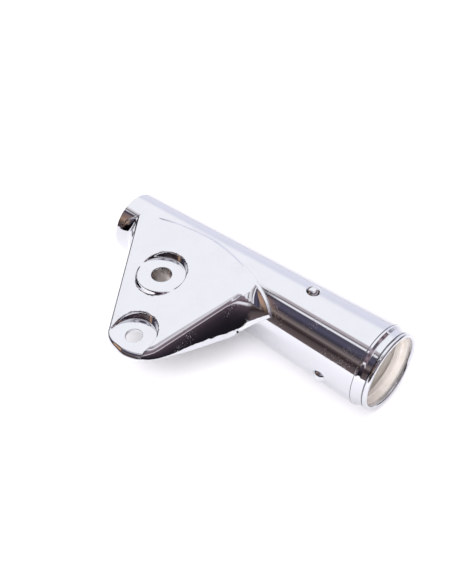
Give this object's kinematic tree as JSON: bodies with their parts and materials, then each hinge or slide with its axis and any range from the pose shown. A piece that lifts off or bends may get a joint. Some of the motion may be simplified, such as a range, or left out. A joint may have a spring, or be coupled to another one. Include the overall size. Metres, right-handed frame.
{
  "type": "headlight mounting bracket",
  "caption": "Chromed fork-tube cover with a seat collar and a pressed triangular ear with bolt pads for a headlight.",
  "frame": {"origin": "centre of the collar's mouth, on the fork tube's axis", "axes": "+X along the tube, out of the collar's mouth; +Z along the bolt holes, out of the pads' faces; the ear reaches towards -Y"},
  "size_m": [0.22, 0.1259, 0.058],
  "materials": {
    "tube_chrome": "bright chrome plate on steel tube",
    "collar_chrome": "bright chrome plate outside, satin inside the seat",
    "ear_chrome": "bright chrome plate on pressed sheet",
    "bush_steel": "plain grey steel",
    "plug_chrome": "bright chrome plate on pressed domes"
  },
  "bodies": {
    "root": {"fork_tube": "tube_chrome", "lower_collar": "collar_chrome", "ear_shell": "ear_chrome", "bolt_bush": "bush_steel", "top_plug": "plug_chrome", "side_plug": "plug_chrome"}
  },
  "joints": []
}
